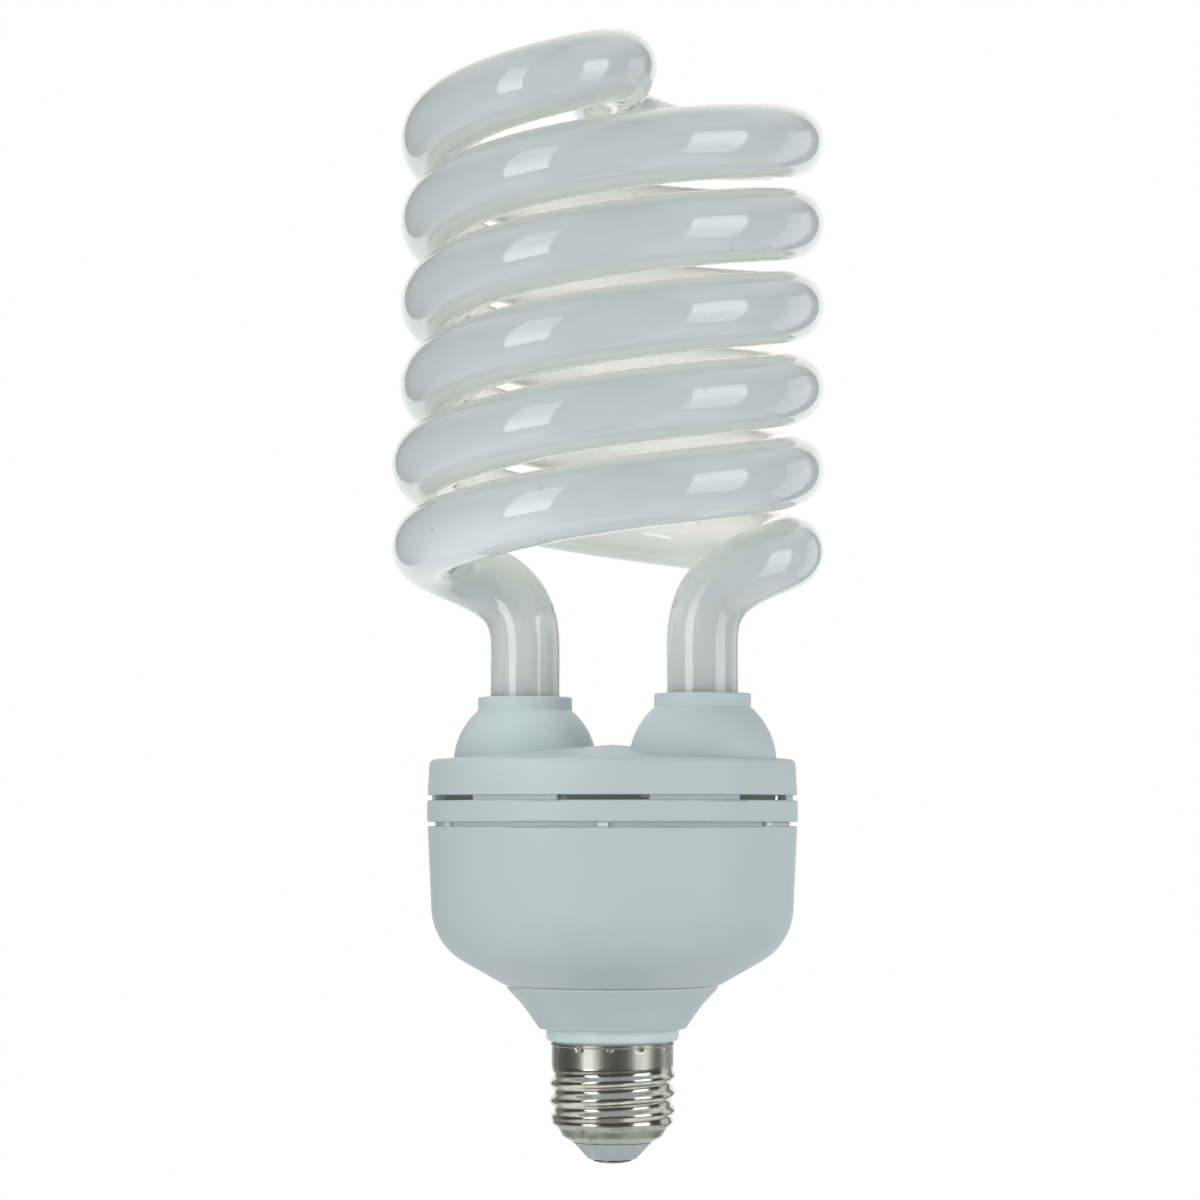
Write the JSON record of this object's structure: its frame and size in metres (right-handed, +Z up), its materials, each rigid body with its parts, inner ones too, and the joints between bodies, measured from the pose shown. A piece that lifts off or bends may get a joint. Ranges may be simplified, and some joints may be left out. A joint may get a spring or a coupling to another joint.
{
  "type": "spiral energy saving bulb",
  "caption": "Compact fluorescent lamp: white double-helix glass tube on a vented plastic ballast housing with a flared neck and a medium Edison screw base.",
  "frame": {"origin": "tip of the centre contact, on the lamp's axis", "axes": "+Z up the lamp's axis from the contact to the coil, X through the tube's two legs"},
  "size_m": [0.088, 0.0882, 0.2327],
  "materials": {
    "glass": "glossy, white phosphor coat inside",
    "housing_plastic": "satin moulded",
    "shell_metal": "bright nickel plate",
    "base_glass": "pale vitreous insulator",
    "contact_metal": "tinned",
    "cement": "white cement",
    "board": "phenolic board",
    "capacitor_sleeve": "shrunk sleeve",
    "ferrite": "ferrite",
    "bobbin_plastic": "moulded",
    "copper": "enamelled copper wire",
    "toroid_ferrite": "ferrite",
    "transistor_case": "epoxy",
    "film_case": "dipped film",
    "thermistor_disc": "coated disc",
    "diode_case": "epoxy",
    "resistor_body": "lacquered",
    "tinned_wire": "tinned copper",
    "wire_sleeve": "insulation"
  },
  "bodies": {
    "root": {"spiral_tube": "glass", "top_cover": "housing_plastic", "vent_ring": "housing_plastic", "ballast_housing": "housing_plastic", "neck_adapter": "housing_plastic", "screw_shell": "shell_metal", "base_insulator": "base_glass", "centre_contact": "contact_metal", "tube_cement": "cement", "ballast_board": "board", "bulk_capacitor_a": "capacitor_sleeve", "bulk_capacitor_b": "capacitor_sleeve", "choke_core": "ferrite", "filter_choke_core": "ferrite", "choke_bobbin": "bobbin_plastic", "choke_winding": "copper", "filter_choke_winding": "copper", "drive_windings": "copper", "drive_core": "toroid_ferrite", "transistor_a": "transistor_case", "transistor_b": "transistor_case", "resonant_capacitor": "film_case", "blocking_capacitor": "film_case", "filter_capacitor": "film_case", "thermistor": "thermistor_disc", "rectifier_diodes": "diode_case", "diac": "diode_case", "resistors": "resistor_body", "fusible_resistor": "resistor_body", "wrap_pins": "tinned_wire", "filament_leads": "tinned_wire", "live_wire": "wire_sleeve", "neutral_wire": "wire_sleeve"}
  },
  "joints": []
}
